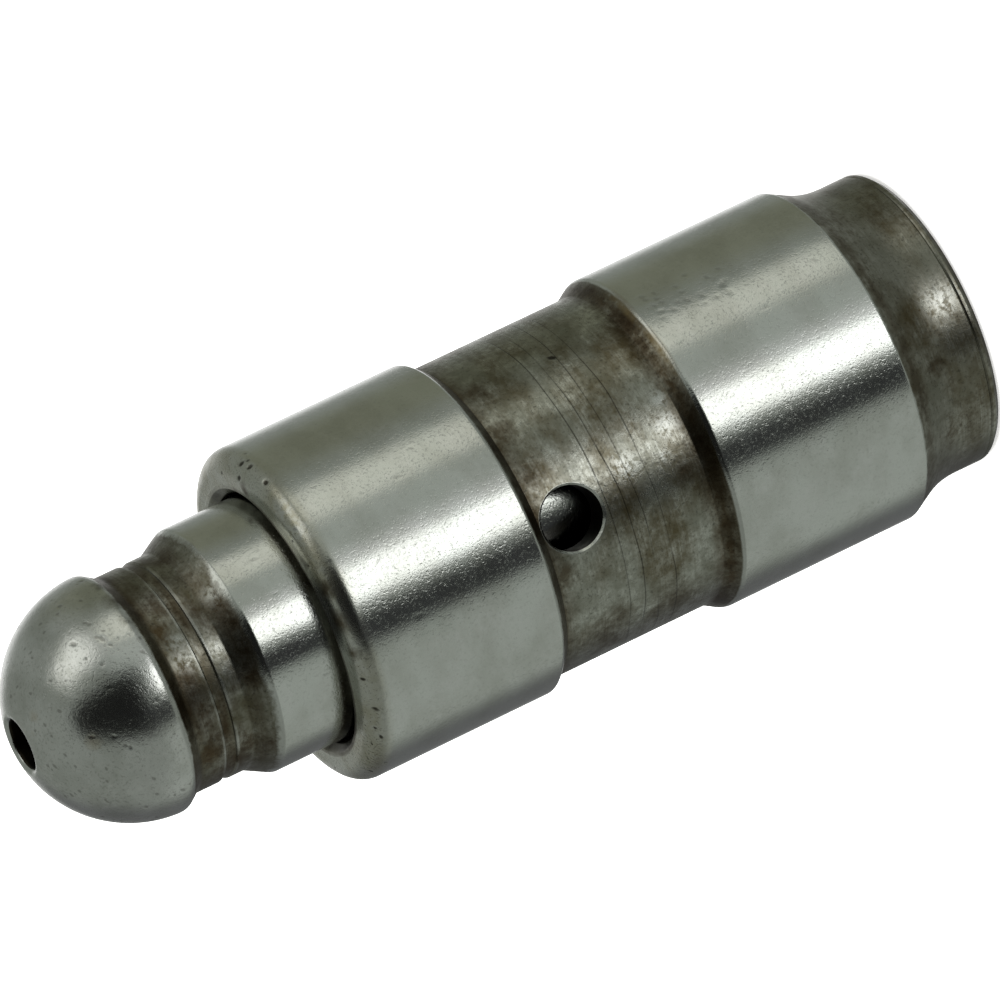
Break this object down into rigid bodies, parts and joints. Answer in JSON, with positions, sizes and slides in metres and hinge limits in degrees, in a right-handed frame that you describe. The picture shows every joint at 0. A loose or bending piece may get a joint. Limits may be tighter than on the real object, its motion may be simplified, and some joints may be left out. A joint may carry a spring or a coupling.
{
  "type": "valve lifter",
  "caption": "Pivot-type hydraulic valve lifter: ground steel housing with an oil groove, sprung plungers, ball check valve and a drilled ball head.",
  "frame": {"origin": "centre of the housing's flat closed base", "axes": "+Z along the lifter's axis from the base to the ball head; the oil hole in the housing faces -Y; +X completes the right-handed frame"},
  "size_m": [0.012, 0.012, 0.0347],
  "materials": {
    "housing_steel": "ground lands, brown oil stain in the groove and on the rear neck",
    "plunger_steel": "ground shank, satin ball head with pits, brown oil stain on the neck",
    "ball_steel": "polished bearing steel",
    "pressed_steel": "bright pressed sheet steel, oiled",
    "spring_steel": "drawn spring wire, tempered, oiled"
  },
  "bodies": {
    "housing": {"housing": "housing_steel", "retaining_ring": "spring_steel", "plunger_spring": "spring_steel"},
    "lower_plunger": {"lower_plunger": "plunger_steel", "ball_cage": "pressed_steel", "check_ball_spring": "spring_steel"},
    "upper_plunger": {"upper_plunger": "plunger_steel"},
    "check_ball": {"check_ball": "ball_steel"}
  },
  "joints": [
    {"name": "plunger_slide", "type": "slide", "parent": "housing", "child": "lower_plunger", "axis": [0, 0, -1], "range_m": [0, 0.003], "stiffness_N_per_m": 1250, "springref_m": -0.0055, "deforming": ["plunger_spring"]},
    {"name": "head_spin", "type": "hinge", "parent": "lower_plunger", "child": "upper_plunger", "pos_m": [0, 0, 0.01262], "axis": [0, 0, 1], "continuous": true},
    {"name": "check_ball_lift", "type": "slide", "parent": "lower_plunger", "child": "check_ball", "axis": [0, 0, -1], "range_m": [0, 0.0002], "stiffness_N_per_m": 50, "springref_m": -0.001, "deforming": ["check_ball_spring"]}
  ]
}
